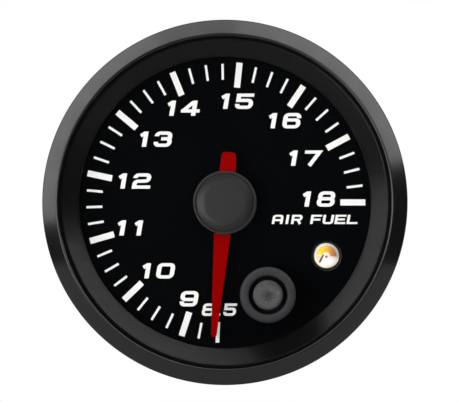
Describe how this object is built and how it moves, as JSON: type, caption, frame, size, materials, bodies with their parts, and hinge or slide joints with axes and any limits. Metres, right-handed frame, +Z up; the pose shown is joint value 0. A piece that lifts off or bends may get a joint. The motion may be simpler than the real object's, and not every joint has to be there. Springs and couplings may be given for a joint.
{
  "type": "air fuel ratio gauge",
  "caption": "Round panel gauge with a black bezel and dial, a red pointer, a push button and a warning light; barrel body with rear studs and sockets.",
  "frame": {"origin": "on the gauge's axis, in the plane where the bezel rests on the panel", "axes": "+Y along the axis to the rear, so the dial faces -Y; +Z up; +X to the right as the dial is read"},
  "size_m": [0.06, 0.0573, 0.06],
  "materials": {
    "satin_black_paint": "satin",
    "clear_glass": "polished",
    "black_rubber": "matte",
    "shroud_plastic": "fine moulded texture",
    "dial_black": "matt ink",
    "dial_white": "translucent",
    "box_white": "matt",
    "pointer_red": "satin",
    "black_plastic": "fine moulded texture",
    "cap_grey": "satin",
    "ring_grey": "satin",
    "button_rubber": "matte, speckled",
    "ivory_plastic": "matt",
    "clear_epoxy": "cast",
    "tinned_lead": "plated",
    "chip_glow": "silicone",
    "board_green": "solder mask",
    "gold_contact": "plated",
    "chip_black": "moulded epoxy",
    "can_aluminium": "drawn",
    "zinc_steel": "zinc plated"
  },
  "bodies": {
    "housing": {"bezel": "satin_black_paint", "lens": "clear_glass", "lens_gasket": "black_rubber", "dial_shroud": "shroud_plastic", "dial_mask": "dial_black", "dial_plate": "dial_white", "light_box": "box_white", "button_ring": "ring_grey", "switch_base": "black_plastic", "switch_cover": "zinc_steel", "warning_light_lens": "clear_epoxy", "warning_light_leads": "tinned_lead", "backlights": "chip_glow", "main_board": "board_green", "motor_housing": "black_plastic", "motor_pins": "gold_contact", "link_pins": "gold_contact", "link_spacer": "black_plastic", "control_board": "board_green", "control_chip": "chip_black", "regulator": "chip_black", "capacitors": "can_aluminium", "power_socket": "black_plastic", "power_pins": "gold_contact", "sensor_socket": "black_plastic", "sensor_pins": "gold_contact", "case": "black_plastic", "rear_cover": "black_plastic", "bracket_studs": "zinc_steel", "board_screws": "zinc_steel", "cover_screws": "zinc_steel"},
    "pointer": {"pointer_arm": "pointer_red", "pointer_hub": "black_plastic", "pointer_cap": "cap_grey", "motor_shaft": "zinc_steel"},
    "button": {"button_cap": "button_rubber", "button_stem": "black_plastic", "switch_plunger": "ivory_plastic"}
  },
  "joints": [
    {"name": "pointer_turn", "type": "hinge", "parent": "housing", "child": "pointer", "pos_m": [0, 0, 0], "axis": [0, 1, 0], "range_deg": [0, 265.2]},
    {"name": "button_press", "type": "slide", "parent": "housing", "child": "button", "axis": [0, 1, 0], "range_m": [0, 0.0005], "stiffness_N_per_m": 600}
  ]
}
